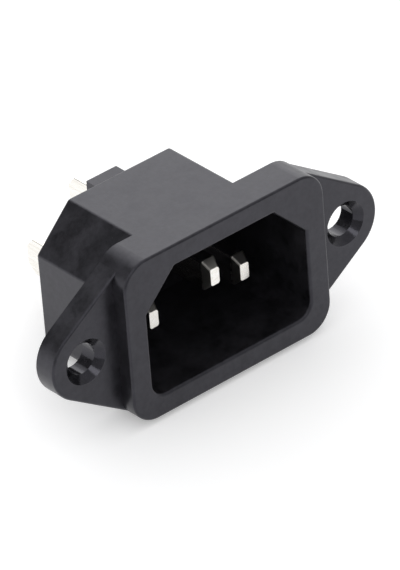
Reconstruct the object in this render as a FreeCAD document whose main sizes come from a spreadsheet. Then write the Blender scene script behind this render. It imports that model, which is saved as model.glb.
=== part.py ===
import FreeCAD, Part
import math
import os
import Sketcher

# Panel inlet socket for a three-pole appliance connector (C14 pattern).
#
# A one-piece moulded housing carries three flat blades. Its frame: X runs along the line of
# the two screws, +Z is the earth side, and the connector comes in along +Y from the front (-Y).
# The origin lies midway between the screws, on the back of the flange, which meets the panel.

VECTOR = FreeCAD.Vector

SIZES = (
    # The hollow that takes the connector.
    ("cavity_width", 24.4, "opening, left to right"),
    ("cavity_height", 16.2, "opening, bottom to top"),
    ("cavity_depth", 16.9, "front face to cavity floor"),
    ("cavity_chamfer", 4.6, "cut of the two upper corners"),
    ("cavity_radius", 2.0, "rounding of the two lower corners"),
    # Walls of the body behind the panel.
    ("side_wall", 0.8, "left and right walls"),
    ("level_wall", 1.0, "upper and lower walls"),
    ("slant_wall", 0.8, "walls behind the cut corners"),
    ("rear_wall", 2.0, "cavity floor to rear face"),
    ("body_radius", 1.5, "lower corners of the body"),
    ("ridge_round", 0.5, "edges of the cut upper corners"),
    # Flange: a raised block round the cavity, with an ear on each side.
    ("block_depth", 5.1, "front face to panel"),
    ("block_side", 2.25, "overhang of the block past the body, left and right"),
    ("block_level", 1.8, "overhang of the block past the body, above and below"),
    ("block_radius", 3.5, "corners of the block"),
    ("screw_pitch", 40.0, "between the screw holes"),
    ("ear_radius", 4.9, "ends of the ears"),
    ("ear_drop", 0.1, "edge of an ear below the middle of the block's corner"),
    ("ear_thickness", 3.0, "front of the ears to panel"),
    ("screw_bore", 4.0, "through hole for the screw"),
    ("sink_width", 5.8, "countersink at the front of an ear"),
    ("sink_angle", 90.0, "countersink, full angle in degrees"),
    # Hollows moulded into the back of the flange.
    ("skin", 1.2, "what is left in front of a hollow"),
    ("rim", 1.5, "wall along the outer edge"),
    ("land", 1.3, "flat left round the body"),
    ("boss_step", 0.7, "end of an ear to its screw boss"),
    # Raised terminals on the rear face, one round each contact.
    ("terminal_depth", 2.0, "rear face to terminal face"),
    ("terminal_width", 4.6, "left to right"),
    ("terminal_rise", 6.0, "middle of the tag to the terminal's top"),
    ("terminal_shift", 1.05, "middle of the tag to the middle of the terminal"),
    # Blades that the connector grips.
    ("blade_pitch", 14.0, "line blade to neutral blade"),
    ("earth_offset", 4.0, "height of the earth blade over the other two"),
    ("blade_thickness", 2.0, "across X"),
    ("blade_width", 4.0, "along Z"),
    ("blade_round", 0.3, "long edges of a blade"),
    ("tip_thickness", 1.3, "end face of a blade, across X"),
    ("tip_width", 2.2, "end face of a blade, along Z"),
    ("tip_length", 1.1, "taper at the end of a blade"),
    ("line_recess", 5.5, "front face to the line and neutral blades"),
    ("earth_recess", 2.35, "front face to the earth blade, which mates first"),
    ("blade_seat", 1.0, "depth of a blade in the rear wall"),
    # Solder tags behind the terminals.
    ("tag_thickness", 0.8, "sheet of the tag"),
    ("tag_width", 4.8, "along Z"),
    ("tag_reach", 7.3, "terminal face to the tag's end"),
    ("tag_corner", 1.2, "cut corners at the tag's end"),
    ("tag_round", 0.12, "sheared edges of the tag"),
    ("tag_shift", 0.7, "middle of the blade to the middle of the tag"),
    ("eye_bore", 3.3, "hole for the wire"),
    ("eye_reach", 3.3, "terminal face to the middle of the hole"),
    ("root_width", 7.6, "plate that crosses the rear wall, along Z"),
    ("stake_reach", 0.7, "staked shoulder behind the terminal"),
    ("stake_spread", 0.5, "metal pressed out sideways at a shoulder"),
    # Fit and edges.
    ("contact_gap", 0.05, "play round a contact in the housing"),
    ("edge_round", 0.3, "outer edges of the moulding"),
    ("mouth_round", 0.4, "edge of the cavity's mouth"),
)

PARTS_FOLDER = "parts"


class Size:
    """A length and the sheet formula that it comes from, so that each is worked out once."""

    def __init__(self, value, formula):
        self.value = value
        self.formula = formula

    def _with(self, other, sign, value):
        other_formula = other.formula if isinstance(other, Size) else repr(other)
        return Size(value, f"({self.formula} {sign} {other_formula})")

    def __add__(self, other):
        return self._with(other, "+", self.value + number(other))

    def __sub__(self, other):
        return self._with(other, "-", self.value - number(other))

    def __mul__(self, other):
        return self._with(other, "*", self.value * number(other))

    def __truediv__(self, other):
        return self._with(other, "/", self.value / number(other))

    def __neg__(self):
        return self * -1


def number(thing):
    """The plain value of a Size or of a number."""
    return thing.value if isinstance(thing, Size) else float(thing)


def write_sheet(doc):
    """Put the driving sizes in a spreadsheet and return them by name."""
    sheet = doc.addObject("Spreadsheet::Sheet", "Sheet")
    sizes = {}
    for row, (alias, value, meaning) in enumerate(SIZES, start=1):
        sheet.set(f"A{row}", meaning)
        sheet.set(f"B{row}", str(value))
        sheet.setAlias(f"B{row}", alias)
        sizes[alias] = Size(value, f"Sheet.{alias}")
    return sizes


class Sizes:
    """The driving sizes by name, and those that follow from them."""

    def __init__(self, driving):
        self.__dict__.update(driving)
        root_two = Size(math.sqrt(2), "sqrt(2)")
        self.body_width = self.cavity_width + self.side_wall * 2
        self.body_height = self.cavity_height + self.level_wall * 2
        self.body_depth = self.cavity_depth + self.rear_wall - self.block_depth
        self.body_chamfer = (self.side_wall + self.level_wall + self.cavity_chamfer
                             - self.slant_wall * root_two)
        self.block_width = self.body_width + self.block_side * 2
        self.block_height = self.body_height + self.block_level * 2
        self.land_chamfer = self.body_chamfer + self.land * 2 - self.land * root_two
        self.boss_radius = self.ear_radius - self.boss_step
        self.ear_core = self.ear_thickness - self.skin
        self.block_core = self.block_depth - self.skin
        self.floor_y = self.cavity_depth - self.block_depth
        self.face_y = self.body_depth + self.terminal_depth
        self.half_way = Size(1 - math.sqrt(0.5), "(1 - sqrt(0.5))")


# ---------------------------------------------------------------- sketches and features

def new_sketch(body, name, role, offset=None):
    """An empty sketch on one of the body's own planes, moved along that plane's normal."""
    plane = next(item for item in body.Origin.OriginFeatures if item.Role == role)
    sketch = body.newObject("Sketcher::SketchObject", name)
    sketch.AttachmentSupport = [(plane, "")]
    sketch.MapMode = "FlatFace"
    if offset is not None:
        sketch.AttachmentOffset = FreeCAD.Placement(
            VECTOR(0, 0, number(offset)), FreeCAD.Rotation())
        sketch.setExpression("AttachmentOffset.Base.z", offset.formula)
    return sketch


def front_sketch(body, name, depth=None):
    """A sketch seen from the front: its axes are X and Z, and depth is its place along +Y."""
    return new_sketch(body, name, "XZ_Plane", None if depth is None else -depth)


def bind(sketch, kind, *where, size):
    """Add a dimension to a sketch and tie it to the sheet."""
    index = sketch.addConstraint(Sketcher.Constraint(kind, *where, number(size)))
    if isinstance(size, Size):
        sketch.setExpression(f"Constraints[{index}]", size.formula)


def place(sketch, element, point, across, up):
    """Fix a point of the sketch by its two distances from the origin."""
    bind(sketch, "DistanceX", -1, 1, element, point, size=across)
    bind(sketch, "DistanceY", -1, 1, element, point, size=up)


def corner_arc(corner, before, after, radius):
    """Ends and centre of the arc that rounds a corner of an anticlockwise outline."""
    back = (before - corner).normalize()
    on = (after - corner).normalize()
    half = back.getAngle(on) / 2
    reach = radius / math.tan(half)
    centre = corner + (back + on).normalize() * (radius / math.sin(half))
    return corner + back * reach, corner + on * reach, centre


def arc_between(start, end, centre):
    """The anticlockwise arc from start to end about a centre."""
    circle = Part.Circle(centre, VECTOR(0, 0, 1), (start - centre).Length)
    first = math.atan2(start.y - centre.y, start.x - centre.x)
    last = math.atan2(end.y - centre.y, end.x - centre.x)
    if last < first:
        last += 2 * math.pi
    return Part.ArcOfCircle(circle, first, last)


def outline(sketch, corners):
    """Draw a closed anticlockwise outline from (across, up, radius) corners."""
    points = [VECTOR(number(across), number(up), 0) for across, up, _ in corners]
    count = len(corners)
    starts = list(points)
    ends = list(points)
    arcs = {}
    for index, (_, _, radius) in enumerate(corners):
        if radius is not None:
            before = points[index - 1]
            after = points[(index + 1) % count]
            enter, leave, centre = corner_arc(points[index], before, after, number(radius))
            ends[index] = enter
            starts[index] = leave
            arcs[index] = sketch.addGeometry(arc_between(enter, leave, centre), False)
    lines = []
    for index in range(count):
        after = (index + 1) % count
        lines.append(sketch.addGeometry(Part.LineSegment(starts[index], ends[after]), False))
    for index, (across, up, radius) in enumerate(corners):
        coming = lines[index - 1]
        going = lines[index]
        if radius is None:
            sketch.addConstraint(Sketcher.Constraint("Coincident", coming, 2, going, 1))
            place(sketch, going, 1, across, up)
        else:
            arc = arcs[index]
            sketch.addConstraint(Sketcher.Constraint("Tangent", coming, 2, arc, 1))
            sketch.addConstraint(Sketcher.Constraint("Tangent", arc, 2, going, 1))
            bind(sketch, "Radius", arc, size=radius)
            corner = sketch.addGeometry(Part.Point(points[index]), True)
            place(sketch, corner, 1, across, up)
            sketch.addConstraint(Sketcher.Constraint("PointOnObject", corner, 1, coming))
            sketch.addConstraint(Sketcher.Constraint("PointOnObject", corner, 1, going))


def rectangle(sketch, left, right, bottom, top, radius=None):
    """Draw an upright rectangle, square or rounded."""
    outline(sketch, [(left, bottom, radius), (right, bottom, radius),
                     (right, top, radius), (left, top, radius)])


def circle(sketch, across, up, radius):
    """Draw a circle."""
    centre = VECTOR(number(across), number(up), 0)
    ring = sketch.addGeometry(Part.Circle(centre, VECTOR(0, 0, 1), number(radius)), False)
    place(sketch, ring, 3, across, up)
    bind(sketch, "Radius", ring, size=radius)


def pad(body, name, sketch, length, rearward=False, second=None):
    """Raise a sketch along its normal, or against it, or by a second length the other way."""
    feature = body.newObject("PartDesign::Pad", name)
    feature.Profile = sketch
    feature.Reversed = rearward
    feature.Length = number(length)
    feature.setExpression("Length", length.formula)
    if second is not None:
        feature.SideType = "Two sides"
        feature.Length2 = number(second)
        feature.setExpression("Length2", second.formula)
    body.Document.recompute()
    return feature


def pocket(body, name, sketch, length, forward=False):
    """Cut a sketch into the body, rearward unless forward, and check that it cuts."""
    before = body.Shape.Volume
    feature = body.newObject("PartDesign::Pocket", name)
    feature.Profile = sketch
    feature.Reversed = forward
    feature.Length = number(length)
    feature.setExpression("Length", length.formula)
    body.Document.recompute()
    if not body.Shape.Volume < before:
        raise RuntimeError(f"{name} cuts nothing")
    return feature


def round_edges(body, name, base, radius, chosen):
    """Round the edges of a feature for which chosen(edge) holds."""
    names = [f"Edge{index}" for index, edge in enumerate(base.Shape.Edges, start=1)
             if chosen(edge)]
    feature = body.newObject("PartDesign::Fillet", name)
    feature.Base = (base, names)
    feature.Radius = number(radius)
    feature.setExpression("Radius", radius.formula)
    body.Document.recompute()
    return feature


def lies_at(edge, depth):
    """True for an edge that lies in the plane Y = depth."""
    box = edge.BoundBox
    tolerance = 1e-4
    return abs(box.YMin - number(depth)) < tolerance and abs(box.YMax - number(depth)) < tolerance


# ---------------------------------------------------------------- housing

def cut_corner_outline(sketch, width, height, chamfer, lower_radius, small_radius):
    """The connector's outline: cut upper corners, rounded lower ones."""
    side = width / 2
    level = height / 2
    outline(sketch, [
        (-side, -level, lower_radius),
        (side, -level, lower_radius),
        (side, level - chamfer, small_radius),
        (side - chamfer, level, small_radius),
        (chamfer - side, level, small_radius),
        (-side, level - chamfer, small_radius),
    ])


def block_outline(sketch, sizes, inset=None):
    """The raised block's rounded rectangle, or the same drawn inside it by inset."""
    side = sizes.block_width / 2
    level = sizes.block_height / 2
    radius = sizes.block_radius
    if inset is not None:
        side = side - inset
        level = level - inset
        radius = radius - inset
    rectangle(sketch, -side, side, -level, level, radius)


def tangent_point(corner, centre, radius):
    """Where the line from a corner touches a circle, on the corner's side of the axis."""
    reach = centre - corner
    swing = math.asin(radius / reach.Length)
    heading = math.atan2(reach.y, reach.x) + swing
    length = math.sqrt(reach.Length ** 2 - radius ** 2)
    return corner + VECTOR(math.cos(heading), math.sin(heading), 0) * length


def ears_outline(sketch, sizes, inset=None):
    """Both ears as one outline: from just under the middle of each corner of the block, a
    straight edge runs to touch the round end about the screw hole."""
    side = sizes.block_width / 2
    level = sizes.block_height / 2
    bend = sizes.block_radius
    radius = sizes.ear_radius
    if inset is not None:
        side = side - inset
        level = level - inset
        bend = bend - inset
        radius = radius - inset
    across = side - bend * sizes.half_way
    up = level - bend * sizes.half_way - sizes.ear_drop
    reach = sizes.screw_pitch / 2
    touch = tangent_point(VECTOR(across.value, up.value, 0), VECTOR(reach.value, 0, 0),
                          radius.value)
    corners = [(-across, -up), (across, -up), (across, up), (-across, up)]
    spots = [VECTOR(right.value, high.value, 0) for right, high in corners]
    low_right = VECTOR(touch.x, -touch.y, 0)
    low_left = -touch
    high_left = VECTOR(-touch.x, touch.y, 0)
    pieces = (
        Part.LineSegment(spots[0], spots[1]),
        Part.LineSegment(spots[1], low_right),
        arc_between(low_right, touch, VECTOR(reach.value, 0, 0)),
        Part.LineSegment(touch, spots[2]),
        Part.LineSegment(spots[2], spots[3]),
        Part.LineSegment(spots[3], high_left),
        arc_between(high_left, low_left, VECTOR(-reach.value, 0, 0)),
        Part.LineSegment(low_left, spots[0]),
    )
    drawn = [sketch.addGeometry(piece, False) for piece in pieces]
    bottom, low_edge, end, high_edge, top, high_back, far_end, low_back = drawn
    for first, second in ((bottom, low_edge), (high_edge, top), (top, high_back),
                          (low_back, bottom)):
        sketch.addConstraint(Sketcher.Constraint("Coincident", first, 2, second, 1))
    for first, second in ((low_edge, end), (end, high_edge), (high_back, far_end),
                          (far_end, low_back)):
        sketch.addConstraint(Sketcher.Constraint("Tangent", first, 2, second, 1))
    for element, (right, high) in zip((bottom, low_edge, top, high_back), corners):
        place(sketch, element, 1, right, high)
    for element, middle in ((end, reach), (far_end, -reach)):
        place(sketch, element, 3, middle, 0.0)
        bind(sketch, "Radius", element, size=radius)


def contact_places(sizes):
    """Where each contact goes: name, X and Z of its blade, Z of its tag, depth of its tip."""
    side = sizes.blade_pitch / 2
    up = sizes.earth_offset / 2
    return (
        ("line_contact", -side, -up, -up - sizes.tag_shift, sizes.line_recess),
        ("neutral_contact", side, -up, -up - sizes.tag_shift, sizes.line_recess),
        ("earth_contact", side * 0, up, up + sizes.tag_shift, sizes.earth_recess),
    )


def add_flange(body, sizes):
    """The raised block with its two ears, hollowed from behind."""
    sketch = front_sketch(body, "BlockSketch")
    block_outline(sketch, sizes)
    block = pad(body, "Block", sketch, sizes.block_depth)
    front = -sizes.block_depth
    round_edges(body, "BlockFrontRound", block, sizes.edge_round,
                lambda edge: lies_at(edge, front))

    sketch = front_sketch(body, "EarsSketch")
    ears_outline(sketch, sizes)
    ears = pad(body, "Ears", sketch, sizes.ear_thickness)
    ear_front = -sizes.ear_thickness
    past_block = sizes.block_width.value / 2 + sizes.edge_round.value
    round_edges(body, "EarFrontRound", ears, sizes.edge_round,
                lambda edge: lies_at(edge, ear_front)
                and abs(edge.CenterOfMass.x) > past_block)

    sketch = front_sketch(body, "EarHollowSketch")
    ears_outline(sketch, sizes, sizes.rim)
    pocket(body, "EarHollow", sketch, sizes.ear_core, forward=True)
    sketch = front_sketch(body, "BlockHollowSketch")
    block_outline(sketch, sizes, sizes.rim)
    pocket(body, "BlockHollow", sketch, sizes.block_core, forward=True)

    sketch = front_sketch(body, "LandSketch")
    cut_corner_outline(sketch, sizes.body_width + sizes.land * 2,
                       sizes.body_height + sizes.land * 2, sizes.land_chamfer,
                       sizes.body_radius + sizes.land, sizes.edge_round)
    pad(body, "Land", sketch, sizes.block_core)
    sketch = front_sketch(body, "BossSketch")
    for middle in (-sizes.screw_pitch / 2, sizes.screw_pitch / 2):
        circle(sketch, middle, 0.0, sizes.boss_radius)
    pad(body, "Bosses", sketch, sizes.ear_core)


def add_body(body, sizes):
    """The sleeve behind the panel, with a raised terminal round each contact."""
    sketch = front_sketch(body, "SleeveSketch")
    cut_corner_outline(sketch, sizes.body_width, sizes.body_height, sizes.body_chamfer,
                       sizes.body_radius, sizes.ridge_round)
    sleeve = pad(body, "Sleeve", sketch, sizes.body_depth, rearward=True)
    round_edges(body, "SleeveRearRound", sleeve, sizes.edge_round,
                lambda edge: lies_at(edge, sizes.body_depth))

    sketch = front_sketch(body, "TerminalSketch", sizes.body_depth)
    for _, across, _, tag_up, _ in contact_places(sizes):
        middle = across - sizes.terminal_shift
        rectangle(sketch, middle - sizes.terminal_width / 2, middle + sizes.terminal_width / 2,
                  tag_up - sizes.root_width / 2, tag_up + sizes.terminal_rise)
    terminals = pad(body, "Terminals", sketch, sizes.terminal_depth, rearward=True)
    round_edges(body, "TerminalRound", terminals, sizes.edge_round / 2,
                lambda edge: lies_at(edge, sizes.face_y))


def cut_cavity(body, sizes):
    """The hollow that the connector enters."""
    sketch = front_sketch(body, "CavitySketch", -sizes.block_depth)
    cut_corner_outline(sketch, sizes.cavity_width, sizes.cavity_height, sizes.cavity_chamfer,
                       sizes.cavity_radius, sizes.edge_round)
    cavity = pocket(body, "Cavity", sketch, sizes.cavity_depth)
    front = -sizes.block_depth
    across = sizes.cavity_width.value / 2 + sizes.side_wall.value / 2
    up = sizes.cavity_height.value / 2 + sizes.level_wall.value / 2
    round_edges(body, "MouthRound", cavity, sizes.mouth_round,
                lambda edge: lies_at(edge, front) and abs(edge.CenterOfMass.x) < across
                and abs(edge.CenterOfMass.z) < up)


def cut_screw_holes(body, sizes):
    """A countersunk through hole in each ear."""
    sketch = front_sketch(body, "ScrewSketch", -sizes.ear_thickness)
    for middle in (-sizes.screw_pitch / 2, sizes.screw_pitch / 2):
        circle(sketch, middle, 0.0, sizes.screw_bore / 2)
    body.Document.recompute()
    hole = body.newObject("PartDesign::Hole", "ScrewHoles")
    hole.Profile = sketch
    body.Document.recompute()
    hole.DepthType = "ThroughAll"
    hole.DrillPoint = "Flat"
    hole.Diameter = number(sizes.screw_bore)
    hole.setExpression("Diameter", sizes.screw_bore.formula)
    hole.HoleCutType = "Countersink"
    hole.HoleCutCustomValues = True
    hole.HoleCutDiameter = number(sizes.sink_width)
    hole.setExpression("HoleCutDiameter", sizes.sink_width.formula)
    hole.HoleCutCountersinkAngle = number(sizes.sink_angle)
    hole.setExpression("HoleCutCountersinkAngle", sizes.sink_angle.formula)
    body.Document.recompute()


def cut_contact_slots(body, sizes):
    """Slots for the contacts' plates through the rear wall, and seats for their blades."""
    gap = sizes.contact_gap
    half_plate = sizes.tag_thickness / 2 + gap
    half_root = sizes.root_width / 2 + gap
    sketch = front_sketch(body, "SlotSketch", sizes.face_y)
    for _, across, _, tag_up, _ in contact_places(sizes):
        rectangle(sketch, across - half_plate, across + half_plate,
                  tag_up - half_root, tag_up + half_root)
    pocket(body, "Slots", sketch, sizes.rear_wall + sizes.terminal_depth, forward=True)

    half_blade = sizes.blade_thickness / 2 + gap
    half_width = sizes.blade_width / 2 + gap
    sketch = front_sketch(body, "SeatSketch", sizes.floor_y)
    for _, across, up, _, _ in contact_places(sizes):
        rectangle(sketch, across - half_blade, across + half_blade,
                  up - half_width, up + half_width)
    pocket(body, "Seats", sketch, sizes.blade_seat)


def build_housing(doc, sizes):
    body = doc.addObject("PartDesign::Body", "housing")
    add_flange(body, sizes)
    add_body(body, sizes)
    cut_cavity(body, sizes)
    cut_screw_holes(body, sizes)
    cut_contact_slots(body, sizes)
    return body


# ---------------------------------------------------------------- contacts

def build_contact(doc, sizes, name, across, up, tag_up, recess):
    """One contact. Its own origin is the middle of its blade, level with the panel."""
    body = doc.addObject("PartDesign::Body", name)
    tag_middle = tag_up - up
    half_root = sizes.root_width / 2
    half_tag = sizes.tag_width / 2
    stake_y = sizes.face_y + sizes.stake_reach
    end_y = sizes.face_y + sizes.tag_reach

    sketch = new_sketch(body, "PlateSketch", "YZ_Plane")
    outline(sketch, [
        (sizes.floor_y, tag_middle - half_root, None),
        (stake_y, tag_middle - half_root, None),
        (stake_y, tag_middle - half_tag, None),
        (end_y - sizes.tag_corner, tag_middle - half_tag, None),
        (end_y, tag_middle - half_tag + sizes.tag_corner, None),
        (end_y, tag_middle + half_tag - sizes.tag_corner, None),
        (end_y - sizes.tag_corner, tag_middle + half_tag, None),
        (stake_y, tag_middle + half_tag, None),
        (stake_y, tag_middle + half_root, None),
        (sizes.floor_y, tag_middle + half_root, None),
    ])
    circle(sketch, sizes.face_y + sizes.eye_reach, tag_middle, sizes.eye_bore / 2)
    plate = pad(body, "Plate", sketch, sizes.tag_thickness / 2, second=sizes.tag_thickness / 2)
    half_sheet = sizes.tag_thickness.value / 2
    round_edges(body, "TagRound", plate, sizes.tag_round,
                lambda edge: edge.CenterOfMass.y > stake_y.value + sizes.tag_round.value
                and abs(edge.CenterOfMass.x) > half_sheet - sizes.tag_round.value
                and len(edge.Vertexes) == 2)

    sketch = new_sketch(body, "StakeSketch", "YZ_Plane")
    rectangle(sketch, sizes.face_y, stake_y, tag_middle + half_tag, tag_middle + half_root)
    rectangle(sketch, sizes.face_y, stake_y, tag_middle - half_root, tag_middle - half_tag)
    pad(body, "Stakes", sketch, sizes.tag_thickness / 2 + sizes.stake_spread, rearward=True)

    tip_y = recess - sizes.block_depth
    full_y = tip_y + sizes.tip_length
    seat_y = sizes.floor_y + sizes.blade_seat
    sections = []
    for section_name, depth, thickness, width in (
            ("TipSketch", tip_y, sizes.tip_thickness, sizes.tip_width),
            ("ShoulderSketch", full_y, sizes.blade_thickness, sizes.blade_width),
            ("SeatEndSketch", seat_y, sizes.blade_thickness, sizes.blade_width)):
        sketch = front_sketch(body, section_name, depth)
        rectangle(sketch, -thickness / 2, thickness / 2, -width / 2, width / 2,
                  sizes.blade_round)
        sections.append(sketch)
    doc.recompute()
    blade = body.newObject("PartDesign::AdditiveLoft", "Blade")
    blade.Profile = sections[0]
    blade.Sections = sections[1:]
    blade.Ruled = True
    body.Placement = FreeCAD.Placement(VECTOR(across.value, 0, up.value), FreeCAD.Rotation())
    body.setExpression("Placement.Base.x", across.formula)
    body.setExpression("Placement.Base.z", up.formula)
    doc.recompute()
    return body


# ---------------------------------------------------------------- whole part

def check(doc, bodies):
    """Stop if any object failed or any sub-part isn't one sound solid."""
    for item in doc.Objects:
        if "Invalid" in item.State or "Error" in item.State:
            raise RuntimeError(f"{item.Name} failed")
    for body in bodies:
        shape = body.Shape
        if shape.isNull() or not shape.isValid() or len(shape.Solids) != 1:
            raise RuntimeError(f"{body.Label} isn't one valid solid")


def main():
    doc = FreeCAD.newDocument("panel_inlet_socket")
    sizes = Sizes(write_sheet(doc))
    doc.recompute()
    bodies = [build_housing(doc, sizes)]
    for name, across, up, tag_up, recess in contact_places(sizes):
        bodies.append(build_contact(doc, sizes, name, across, up, tag_up, recess))
    doc.recompute()
    check(doc, bodies)
    os.makedirs(PARTS_FOLDER, exist_ok=True)
    for body in bodies:
        body.Shape.exportStep(f"{PARTS_FOLDER}/{body.Label}.step")


main()
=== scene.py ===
"""Panel inlet socket: finishes, floor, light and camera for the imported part."""
import math
import bpy
from mathutils import Matrix, Vector


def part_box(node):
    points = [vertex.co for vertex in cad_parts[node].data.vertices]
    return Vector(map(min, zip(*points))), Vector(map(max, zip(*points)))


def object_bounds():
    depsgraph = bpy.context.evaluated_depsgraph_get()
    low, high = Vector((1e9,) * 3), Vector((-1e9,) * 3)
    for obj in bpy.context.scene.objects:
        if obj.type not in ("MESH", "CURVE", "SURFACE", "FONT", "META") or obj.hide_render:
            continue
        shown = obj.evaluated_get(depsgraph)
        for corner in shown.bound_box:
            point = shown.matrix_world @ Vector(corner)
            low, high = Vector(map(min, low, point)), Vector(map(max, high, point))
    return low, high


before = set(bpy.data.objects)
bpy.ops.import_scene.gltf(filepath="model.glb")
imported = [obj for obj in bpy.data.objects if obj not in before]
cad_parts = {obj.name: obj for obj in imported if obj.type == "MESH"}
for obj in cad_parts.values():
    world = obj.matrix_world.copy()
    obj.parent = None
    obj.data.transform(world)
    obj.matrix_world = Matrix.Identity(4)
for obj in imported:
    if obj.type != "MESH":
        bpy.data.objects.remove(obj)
cad_low, cad_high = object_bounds()

MM = 0.001

# The terminal face, how far a staked shoulder stands behind it, and how far the middle of the
# tag's plate lies below the contact's top.
TERMINAL_FACE = 15.8 * MM
STAKE_REACH = 0.7 * MM
TOP_TO_MIDDLE = 3.8 * MM
# A staked shoulder's inner and outer ends, up or down from the plate's middle. The finish
# fades between the two values of each pair.
SHOULDER_INNER = (2.35 * MM, 2.5 * MM)
SHOULDER_OUTER = (3.35 * MM, 3.6 * MM)
# The coined taper's two ends, back from the blade's end face.
TAPER_FRONT = (0.02 * MM, 0.08 * MM)
TAPER_BACK = (1.0 * MM, 1.6 * MM)
# The screw holes: from the middle to a hole's axis, and the radius that their pins polished.
SCREW_REACH = 20.0 * MM
SCREW_POLISH = 2.95 * MM
POLISH_FADE = 0.05 * MM
# Anything further back than this on the housing is its body, not its flange.
BODY_START = 1.0 * MM

# Colours of the plastic, from its dark to its light mottle, where it is rubbed and where dust
# lies on it.
PLASTIC_DARK = (0.0030, 0.0029, 0.0034, 1.0)
PLASTIC_LIGHT = (0.0220, 0.0214, 0.0250, 1.0)
PLASTIC_RUBBED = (0.030, 0.029, 0.032, 1.0)
PLASTIC_DUST = (0.11, 0.108, 0.105, 1.0)
PLASTIC_GLOSS = (0.87, 0.86, 1.0, 1.0)
# How much of the rubbed colour and of the dust shows.
PLASTIC_RUB_SHARE = 0.25
DUST_SHARE = 0.30
# Colours of the contacts.
TIN_DARK = (0.80, 0.775, 0.72, 1.0)
TIN_LIGHT = (0.90, 0.885, 0.85, 1.0)
BARE_BRASS = (0.58, 0.37, 0.13, 1.0)
# The taper's colour is painted darker: painted shade for the dark cavity that the taper
# reflects.
TAPER_PAINTED_SHADE = (0.18, 0.175, 0.165, 1.0)
TIN_DUST = (0.45, 0.44, 0.42, 1.0)

# Roughness: of the plastic and of the tin, from least to most, and what is taken off in the
# screw holes or added on rubs, tags and tapers.
PLASTIC_ROUGHNESS = (0.31, 0.38)
TIN_ROUGHNESS = (0.13, 0.20)
HOLE_SMOOTHER = 0.19
RUB_ROUGHER = 0.10
TAG_ROUGHER = 0.09
TAPER_ROUGHER = 0.18
# Relief: a bump's strength and its depth.
PLASTIC_RELIEF = (0.25, 0.02 * MM)
TIN_RELIEF = (0.12, 0.006 * MM)

# The studio: its colours, what the paper is lifted by where it is seen, and how far the
# floor reaches from its middle, in metres.
PAPER = (0.90, 0.90, 0.905, 1.0)
CARD_GREY = (0.22, 0.22, 0.22, 1.0)
WHITE = (1.0, 1.0, 1.0, 1.0)
PAPER_LIFT = 0.28
FLOOR_REACH = 3.0

# The lamps: a name, the place from the part's middle, the width and height, all in metres,
# and the power in watts.
LAMPS = (
    ("main_softbox", (0.16, 0.256, 0.176), (0.34, 0.20), 0.235),
    ("front_softbox", (-0.28, -0.73, 0.60), (0.30, 0.30), 0.65),
)
# The card's place from the part's middle, its width and its height.
CARD_PLACE = (-0.385, 0.434, 0.392)
CARD_SIZE = (0.62, 0.5)
# The surroundings: their bright side, the two angles' cosines from it between which they
# brighten, and their strength at these two.
BRIGHT_SIDE = (-0.1, 0.75, 0.65)
DIM_COSINE, BRIGHT_COSINE = -0.6, 0.7
DIM_STRENGTH, BRIGHT_STRENGTH = 0.38, 1.10

CAMERA_PLACE = (-375.4 * MM, -471.8 * MM, 389.4 * MM)
CAMERA_LENS = 390.0
CAMERA_ROLL = math.radians(1.42)


# ---------------------------------------------------------------- node helpers

def new_group(name, inputs, outputs):
    """An empty shader node group with named sockets and its two end nodes."""
    group = bpy.data.node_groups.new(name, "ShaderNodeTree")
    for label, kind, default in inputs:
        socket = group.interface.new_socket(label, in_out="INPUT", socket_type=kind)
        if default is not None:
            socket.default_value = default
    for label, kind in outputs:
        group.interface.new_socket(label, in_out="OUTPUT", socket_type=kind)
    start = group.nodes.new("NodeGroupInput")
    end = group.nodes.new("NodeGroupOutput")
    return group, start, end


def feed(tree, socket, value):
    """Give a socket a plain number or colour, or link another socket to it."""
    if isinstance(value, (float, tuple)):
        socket.default_value = value
    else:
        tree.links.new(value, socket)


def math_node(tree, operation, *values):
    """A Math node. Each value is a number or a socket."""
    node = tree.nodes.new("ShaderNodeMath")
    node.operation = operation
    for socket, value in zip(node.inputs, values):
        feed(tree, socket, value)
    return node.outputs[0]


def noise(tree, vector, scale, detail=3.0, roughness=0.5):
    """A noise texture on a vector."""
    node = tree.nodes.new("ShaderNodeTexNoise")
    node.inputs["Detail"].default_value = detail
    node.inputs["Roughness"].default_value = roughness
    feed(tree, node.inputs["Scale"], scale)
    tree.links.new(vector, node.inputs["Vector"])
    return node.outputs["Fac"]


def remap(tree, value, low, high, to_low=0.0, to_high=1.0):
    """Spread a value from one range to another, smoothly and clamped."""
    node = tree.nodes.new("ShaderNodeMapRange")
    node.interpolation_type = "SMOOTHSTEP"
    for label, number in (("From Min", low), ("From Max", high),
                          ("To Min", to_low), ("To Max", to_high)):
        node.inputs[label].default_value = number
    tree.links.new(value, node.inputs["Value"])
    return node.outputs["Result"]


def mix_color(tree, factor, first, second):
    """Mix two colours. Each is a plain colour or a socket."""
    node = tree.nodes.new("ShaderNodeMix")
    node.data_type = "RGBA"
    tree.links.new(factor, node.inputs[0])
    feed(tree, node.inputs[6], first)
    feed(tree, node.inputs[7], second)
    return node.outputs[2]


# ---------------------------------------------------------------- shared effects

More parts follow.
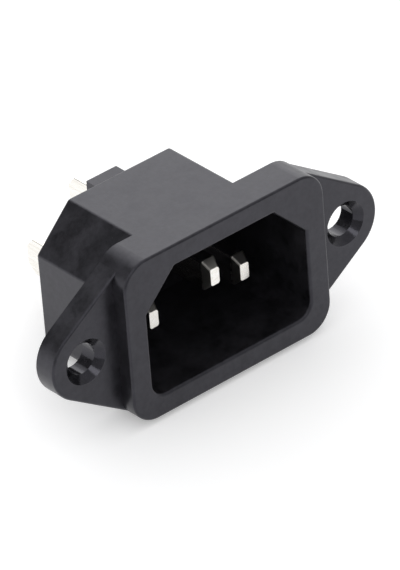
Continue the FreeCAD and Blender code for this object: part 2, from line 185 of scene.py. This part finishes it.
def build_surface_grain():
    """Fine relief of a moulded or rolled surface, with a slow and a mottled change of
    tone."""
    group, start, end = new_group(
        "surface_grain",
        [("Vector", "NodeSocketVector", None),
         ("Fine Scale", "NodeSocketFloat", 4000.0),
         ("Coarse Scale", "NodeSocketFloat", 300.0),
         ("Coarse Share", "NodeSocketFloat", 0.4),
         ("Mottle Scale", "NodeSocketFloat", 1500.0)],
        [("Height", "NodeSocketFloat"), ("Tone", "NodeSocketFloat"),
         ("Mottle", "NodeSocketFloat")])
    vector = start.outputs["Vector"]
    fine = noise(group, vector, start.outputs["Fine Scale"], detail=2.0)
    coarse = noise(group, vector, start.outputs["Coarse Scale"], detail=4.0)
    weighted = math_node(group, "MULTIPLY", coarse, start.outputs["Coarse Share"])
    height = math_node(group, "ADD", fine, weighted)
    group.links.new(height, end.inputs["Height"])
    group.links.new(remap(group, coarse, 0.3, 0.7), end.inputs["Tone"])
    mottle = noise(group, vector, start.outputs["Mottle Scale"], detail=5.0, roughness=0.65)
    group.links.new(remap(group, mottle, 0.30, 0.70), end.inputs["Mottle"])
    return group


def build_handling_marks():
    """Sparse specks of dust and short rubbed marks, as masks from 0 to 1."""
    group, start, end = new_group(
        "handling_marks",
        [("Vector", "NodeSocketVector", None),
         ("Speck Scale", "NodeSocketFloat", 1500.0),
         ("Speck Amount", "NodeSocketFloat", 0.1),
         ("Rub Scale", "NodeSocketFloat", 220.0)],
        [("Specks", "NodeSocketFloat"), ("Rubs", "NodeSocketFloat")])
    vector = start.outputs["Vector"]
    cells = group.nodes.new("ShaderNodeTexVoronoi")
    group.links.new(vector, cells.inputs["Vector"])
    group.links.new(start.outputs["Speck Scale"], cells.inputs["Scale"])
    near = math_node(group, "SUBTRACT", start.outputs["Speck Amount"], cells.outputs["Distance"])
    patches = remap(group, noise(group, vector, 350.0, detail=2.0), 0.5, 0.65)
    specks = math_node(group, "MULTIPLY", remap(group, near, 0.0, 0.05), patches)
    group.links.new(specks, end.inputs["Specks"])
    rubs = noise(group, vector, start.outputs["Rub Scale"], detail=6.0, roughness=0.7)
    group.links.new(remap(group, rubs, 0.55, 0.8), end.inputs["Rubs"])
    return group


# ---------------------------------------------------------------- materials

def new_material(name):
    """A material with a Principled shader. Returns the material, its tree and the shader."""
    material = bpy.data.materials.new(name)
    material.use_nodes = True
    tree = material.node_tree
    shader = tree.nodes["Principled BSDF"]
    return material, tree, shader


def place_group(tree, group, values, vector):
    """Put a group in a material with its own values, on the given vector."""
    node = tree.nodes.new("ShaderNodeGroup")
    node.node_tree = group
    for label, value in values.items():
        node.inputs[label].default_value = value
    tree.links.new(vector, node.inputs["Vector"])
    return node


def bump(tree, height, strength, distance):
    """A Bump node on a height."""
    node = tree.nodes.new("ShaderNodeBump")
    node.inputs["Strength"].default_value = strength
    node.inputs["Distance"].default_value = distance
    tree.links.new(height, node.inputs["Height"])
    return node.outputs["Normal"]


def black_moulding(grain, marks):
    """Black glass-filled plastic, straight from a finely textured mould."""
    material, tree, shader = new_material("black_moulding")
    place = tree.nodes.new("ShaderNodeTexCoord").outputs["Object"]
    relief = place_group(tree, grain, {"Fine Scale": 5200.0, "Coarse Scale": 420.0,
                                       "Coarse Share": 0.5, "Mottle Scale": 1500.0}, place)
    wear = place_group(tree, marks, {"Speck Scale": 1100.0, "Speck Amount": 0.09,
                                     "Rub Scale": 260.0}, place)
    tone = math_node(tree, "MULTIPLY", math_node(tree, "ADD", relief.outputs["Tone"],
                                                 relief.outputs["Mottle"]), 0.5)
    color = mix_color(tree, tone, PLASTIC_DARK, PLASTIC_LIGHT)
    rubbed = math_node(tree, "MULTIPLY", wear.outputs["Rubs"], PLASTIC_RUB_SHARE)
    color = mix_color(tree, rubbed, color, PLASTIC_RUBBED)
    dusty = math_node(tree, "MULTIPLY", wear.outputs["Specks"], DUST_SHARE)
    color = mix_color(tree, dusty, color, PLASTIC_DUST)
    tree.links.new(color, shader.inputs["Base Color"])
    # The screw holes are smoother than the rest.
    rough = remap(tree, relief.outputs["Tone"], 0.0, 1.0, *PLASTIC_ROUGHNESS)
    axes = tree.nodes.new("ShaderNodeSeparateXYZ")
    tree.links.new(place, axes.inputs["Vector"])
    aside = math_node(tree, "SUBTRACT", math_node(tree, "ABSOLUTE", axes.outputs["X"]),
                      SCREW_REACH)
    up = axes.outputs["Z"]
    squares = math_node(tree, "ADD", math_node(tree, "MULTIPLY", aside, aside),
                        math_node(tree, "MULTIPLY", up, up))
    from_axis = math_node(tree, "SQRT", squares)
    polished = remap(tree, from_axis, SCREW_POLISH - POLISH_FADE, SCREW_POLISH, 1.0, 0.0)
    rough = math_node(tree, "SUBTRACT", rough,
                      math_node(tree, "MULTIPLY", polished, HOLE_SMOOTHER))
    tree.links.new(rough, shader.inputs["Roughness"])
    tree.links.new(bump(tree, relief.outputs["Height"], *PLASTIC_RELIEF),
                   shader.inputs["Normal"])
    shader.inputs["IOR"].default_value = 1.5
    shader.inputs["Specular Tint"].default_value = PLASTIC_GLOSS
    return material


def tinned_brass(name, grain, marks, middle_up, tip_front):
    """Bright tin over brass sheet, with a dull coined taper whose colour is painted darker as
    painted shade, and bare brass where the shoulders were sheared."""
    material, tree, shader = new_material(name)
    place = tree.nodes.new("ShaderNodeTexCoord").outputs["Object"]
    relief = place_group(tree, grain, {"Fine Scale": 3000.0, "Coarse Scale": 500.0,
                                       "Coarse Share": 0.8}, place)
    wear = place_group(tree, marks, {"Speck Scale": 1300.0, "Speck Amount": 0.07,
                                     "Rub Scale": 300.0}, place)
    # Rolling streaks run along the blade and the tag.
    stretch = tree.nodes.new("ShaderNodeMapping")
    stretch.inputs["Scale"].default_value = (1.0, 0.06, 1.0)
    tree.links.new(place, stretch.inputs["Vector"])
    streaks = noise(tree, stretch.outputs["Vector"], 2600.0, detail=3.0, roughness=0.6)
    tin = mix_color(tree, remap(tree, streaks, 0.3, 0.7), TIN_DARK, TIN_LIGHT)
    # Bare brass at the staked shoulders.
    axes = tree.nodes.new("ShaderNodeSeparateXYZ")
    tree.links.new(place, axes.inputs["Vector"])
    behind = remap(tree, axes.outputs["Y"], TERMINAL_FACE - 0.05 * MM, TERMINAL_FACE)
    before_tag = remap(tree, axes.outputs["Y"], TERMINAL_FACE + STAKE_REACH * 1.05,
                       TERMINAL_FACE + STAKE_REACH * 1.1, 1.0, 0.0)
    off_middle = math_node(tree, "ABSOLUTE",
                           math_node(tree, "SUBTRACT", axes.outputs["Z"], middle_up))
    beside_tag = remap(tree, off_middle, *SHOULDER_INNER)
    short_of_end = remap(tree, off_middle, *SHOULDER_OUTER, 1.0, 0.15)
    beside_tag = math_node(tree, "MULTIPLY", beside_tag, short_of_end)
    sheared = math_node(tree, "MULTIPLY", math_node(tree, "MULTIPLY", behind, before_tag),
                        beside_tag)
    patchy = remap(tree, relief.outputs["Tone"], 0.0, 1.0, 0.55, 1.0)
    sheared = math_node(tree, "MULTIPLY", sheared, patchy)
    color = mix_color(tree, sheared, tin, BARE_BRASS)
    # The taper behind a blade's end face is coined and dull. Its colour is also painted darker,
    # a painted shade for the dark cavity that the taper reflects.
    past_face = remap(tree, axes.outputs["Y"], *(tip_front + step for step in TAPER_FRONT))
    before_flat = remap(tree, axes.outputs["Y"], *(tip_front + step for step in TAPER_BACK),
                        1.0, 0.0)
    coined_and_painted_shade = math_node(tree, "MULTIPLY", past_face, before_flat)
    color = mix_color(tree, coined_and_painted_shade, color, TAPER_PAINTED_SHADE)
    dusty = math_node(tree, "MULTIPLY", wear.outputs["Specks"], DUST_SHARE)
    color = mix_color(tree, dusty, color, TIN_DUST)
    tree.links.new(color, shader.inputs["Base Color"])
    shader.inputs["Metallic"].default_value = 1.0
    rough = math_node(tree, "ADD", remap(tree, streaks, 0.25, 0.75, *TIN_ROUGHNESS),
                      math_node(tree, "MULTIPLY", wear.outputs["Rubs"], RUB_ROUGHER))
    # The tags are duller than the blades.
    tag = remap(tree, axes.outputs["Y"], TERMINAL_FACE - 1.0 * MM, TERMINAL_FACE,
                0.0, TAG_ROUGHER)
    rough = math_node(tree, "ADD", rough, tag)
    rough = math_node(tree, "ADD", rough,
                      math_node(tree, "MULTIPLY", coined_and_painted_shade, TAPER_ROUGHER))
    tree.links.new(rough, shader.inputs["Roughness"])
    tree.links.new(bump(tree, relief.outputs["Height"], *TIN_RELIEF),
                   shader.inputs["Normal"])
    return material


def pale_floor():
    """Plain white paper. Seen directly or in gloss it is a little lighter than it is lit, so
    that it stays white and keeps the shadow."""
    material, tree, shader = new_material("pale_floor")
    shader.inputs["Base Color"].default_value = PAPER
    shader.inputs["Roughness"].default_value = 0.9
    shader.inputs["Specular IOR Level"].default_value = 0.1
    rays = tree.nodes.new("ShaderNodeLightPath")
    seen = math_node(tree, "MAXIMUM", rays.outputs["Is Camera Ray"],
                     rays.outputs["Is Glossy Ray"])
    seen = math_node(tree, "MAXIMUM", seen, rays.outputs["Is Transmission Ray"])
    white = tree.nodes.new("ShaderNodeEmission")
    white.inputs["Color"].default_value = WHITE
    tree.links.new(math_node(tree, "MULTIPLY", seen, PAPER_LIFT), white.inputs["Strength"])
    both = tree.nodes.new("ShaderNodeAddShader")
    tree.links.new(shader.outputs[0], both.inputs[0])
    tree.links.new(white.outputs[0], both.inputs[1])
    tree.links.new(both.outputs[0], tree.nodes["Material Output"].inputs["Surface"])
    return material


# ---------------------------------------------------------------- floor, light, camera

def resting_plane(housing, low_edge_up):
    """The floor's point and normal. The part stands on the flange's rear lower edge and the
    body's rear lower edge, so it leans back."""
    body = [vertex.co for vertex in housing.data.vertices if vertex.co.y > BODY_START]
    gentlest = min((place.z - low_edge_up) / place.y for place in body)
    normal = Vector((0.0, -gentlest, 1.0)).normalized()
    return Vector((0.0, 0.0, low_edge_up)), normal


def flat_sheet(name, middle, across, along, material):
    """A rectangle that reaches as far as two vectors on each side of its middle."""
    corners = [middle + across * x + along * y
               for x, y in ((-1, -1), (1, -1), (1, 1), (-1, 1))]
    mesh = bpy.data.meshes.new(name)
    mesh.from_pydata([corner[:] for corner in corners], [], [(0, 1, 2, 3)])
    mesh.materials.append(material)
    sheet = bpy.data.objects.new(name, mesh)
    bpy.context.scene.collection.objects.link(sheet)
    return sheet


def make_floor(point, normal, material):
    """A wide flat floor on the resting plane."""
    across = Vector((1.0, 0.0, 0.0))
    back = normal.cross(across)
    floor = flat_sheet("floor", point, across * FLOOR_REACH, back * FLOOR_REACH, material)


def view_axes(place, target, up):
    """The unit vectors ahead, to the right and over, for a look from place to target."""
    ahead = (target - place).normalized()
    right = ahead.cross(up).normalized()
    return ahead, right, right.cross(ahead)


def aim(obj, place, target, up, roll=0.0):
    """Put a camera or light at a place, looking at a target."""
    ahead, right, over = view_axes(place, target, up)
    turn = Matrix((right, over, -ahead)).transposed()
    turn = turn @ Matrix.Rotation(roll, 3, "Z")
    obj.matrix_world = Matrix.Translation(place) @ turn.to_4x4()


def softbox(name, place, target, size, power, up):
    """A rectangular area light."""
    data = bpy.data.lights.new(name, "AREA")
    data.shape = "RECTANGLE"
    data.size, data.size_y = size
    data.energy = power
    lamp = bpy.data.objects.new(name, data)
    bpy.context.scene.collection.objects.link(lamp)
    aim(lamp, place, target, up)


def dark_card(place, target, size, up):
    """A grey card beside the set, seen only in gloss, that keeps the cut corner's face
    deep."""
    material, tree, shader = new_material("dark_card")
    shader.inputs["Base Color"].default_value = CARD_GREY
    shader.inputs["Roughness"].default_value = 1.0
    ahead, right, over = view_axes(place, target, up)
    card = flat_sheet("dark_card", place, right * size[0] / 2, over * size[1] / 2, material)
    card.visible_camera = False
    card.visible_shadow = False
    card.visible_diffuse = False


def light_world():
    """White surroundings, brightest towards one side and dimmer on the other. Seen directly
    they are plain white."""
    world = bpy.data.worlds.new("studio")
    bpy.context.scene.world = world
    world.use_nodes = True
    tree = world.node_tree
    surround = tree.nodes["Background"]
    surround.inputs["Color"].default_value = WHITE
    direction = tree.nodes.new("ShaderNodeTexCoord").outputs["Generated"]
    facing = tree.nodes.new("ShaderNodeVectorMath")
    facing.operation = "DOT_PRODUCT"
    tree.links.new(direction, facing.inputs[0])
    facing.inputs[1].default_value = Vector(BRIGHT_SIDE).normalized()
    level = remap(tree, facing.outputs["Value"], DIM_COSINE, BRIGHT_COSINE,
                  DIM_STRENGTH, BRIGHT_STRENGTH)
    seen = tree.nodes.new("ShaderNodeLightPath").outputs["Is Camera Ray"]
    strength = math_node(tree, "MAXIMUM", level, seen)
    tree.links.new(strength, surround.inputs["Strength"])


def centred_target(objects, place, target, up):
    """The target that puts the objects' outline in the middle of the view."""
    ahead, right, over = view_axes(place, target, up)
    sides, heights = [], []
    for obj in objects:
        for vertex in obj.data.vertices:
            ray = vertex.co - place
            reach = ray.dot(ahead)
            sides.append(ray.dot(right) / reach)
            heights.append(ray.dot(over) / reach)
    reach = (target - place).length
    across = (min(sides) + max(sides)) / 2 * reach
    rise = (min(heights) + max(heights)) / 2 * reach
    return target + right * across + over * rise


def make_camera(objects, middle, normal):
    """A long lens from above and to the left of the front."""
    data = bpy.data.cameras.new("camera")
    data.lens = CAMERA_LENS
    data.sensor_width = 36.0
    data.clip_start = 0.01
    data.clip_end = 20.0
    camera = bpy.data.objects.new("camera", data)
    bpy.context.scene.collection.objects.link(camera)
    place = Vector(CAMERA_PLACE)
    target = centred_target(objects, place, middle, normal)
    aim(camera, place, target, normal, roll=CAMERA_ROLL)
    bpy.context.scene.camera = camera


# ---------------------------------------------------------------- scene

def paint(obj, material):
    """Give the whole of a CAD node one finish."""
    for slot in obj.material_slots:
        slot.material = material
    if not obj.material_slots:
        obj.data.materials.append(material)


def main():
    """Paint the nodes, then set the floor, the light and the camera round them."""
    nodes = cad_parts
    grain = build_surface_grain()
    marks = build_handling_marks()
    paint(nodes["housing"], black_moulding(grain, marks))
    for name in ("line_contact", "neutral_contact", "earth_contact"):
        low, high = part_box(name)
        middle_up = high[2] - TOP_TO_MIDDLE
        paint(nodes[name], tinned_brass("tinned_" + name, grain, marks, middle_up, low[1]))

    point, normal = resting_plane(nodes["housing"], cad_low[2])
    make_floor(point, normal, pale_floor())
    light_world()
    middle = (Vector(cad_low) + Vector(cad_high)) / 2
    for name, place, size, power in LAMPS:
        softbox(name, middle + Vector(place), middle, size, power, normal)
    dark_card(middle + Vector(CARD_PLACE), middle, CARD_SIZE, normal)
    make_camera(nodes.values(), middle, normal)
    bpy.context.scene.view_settings.view_transform = "Standard"


main()
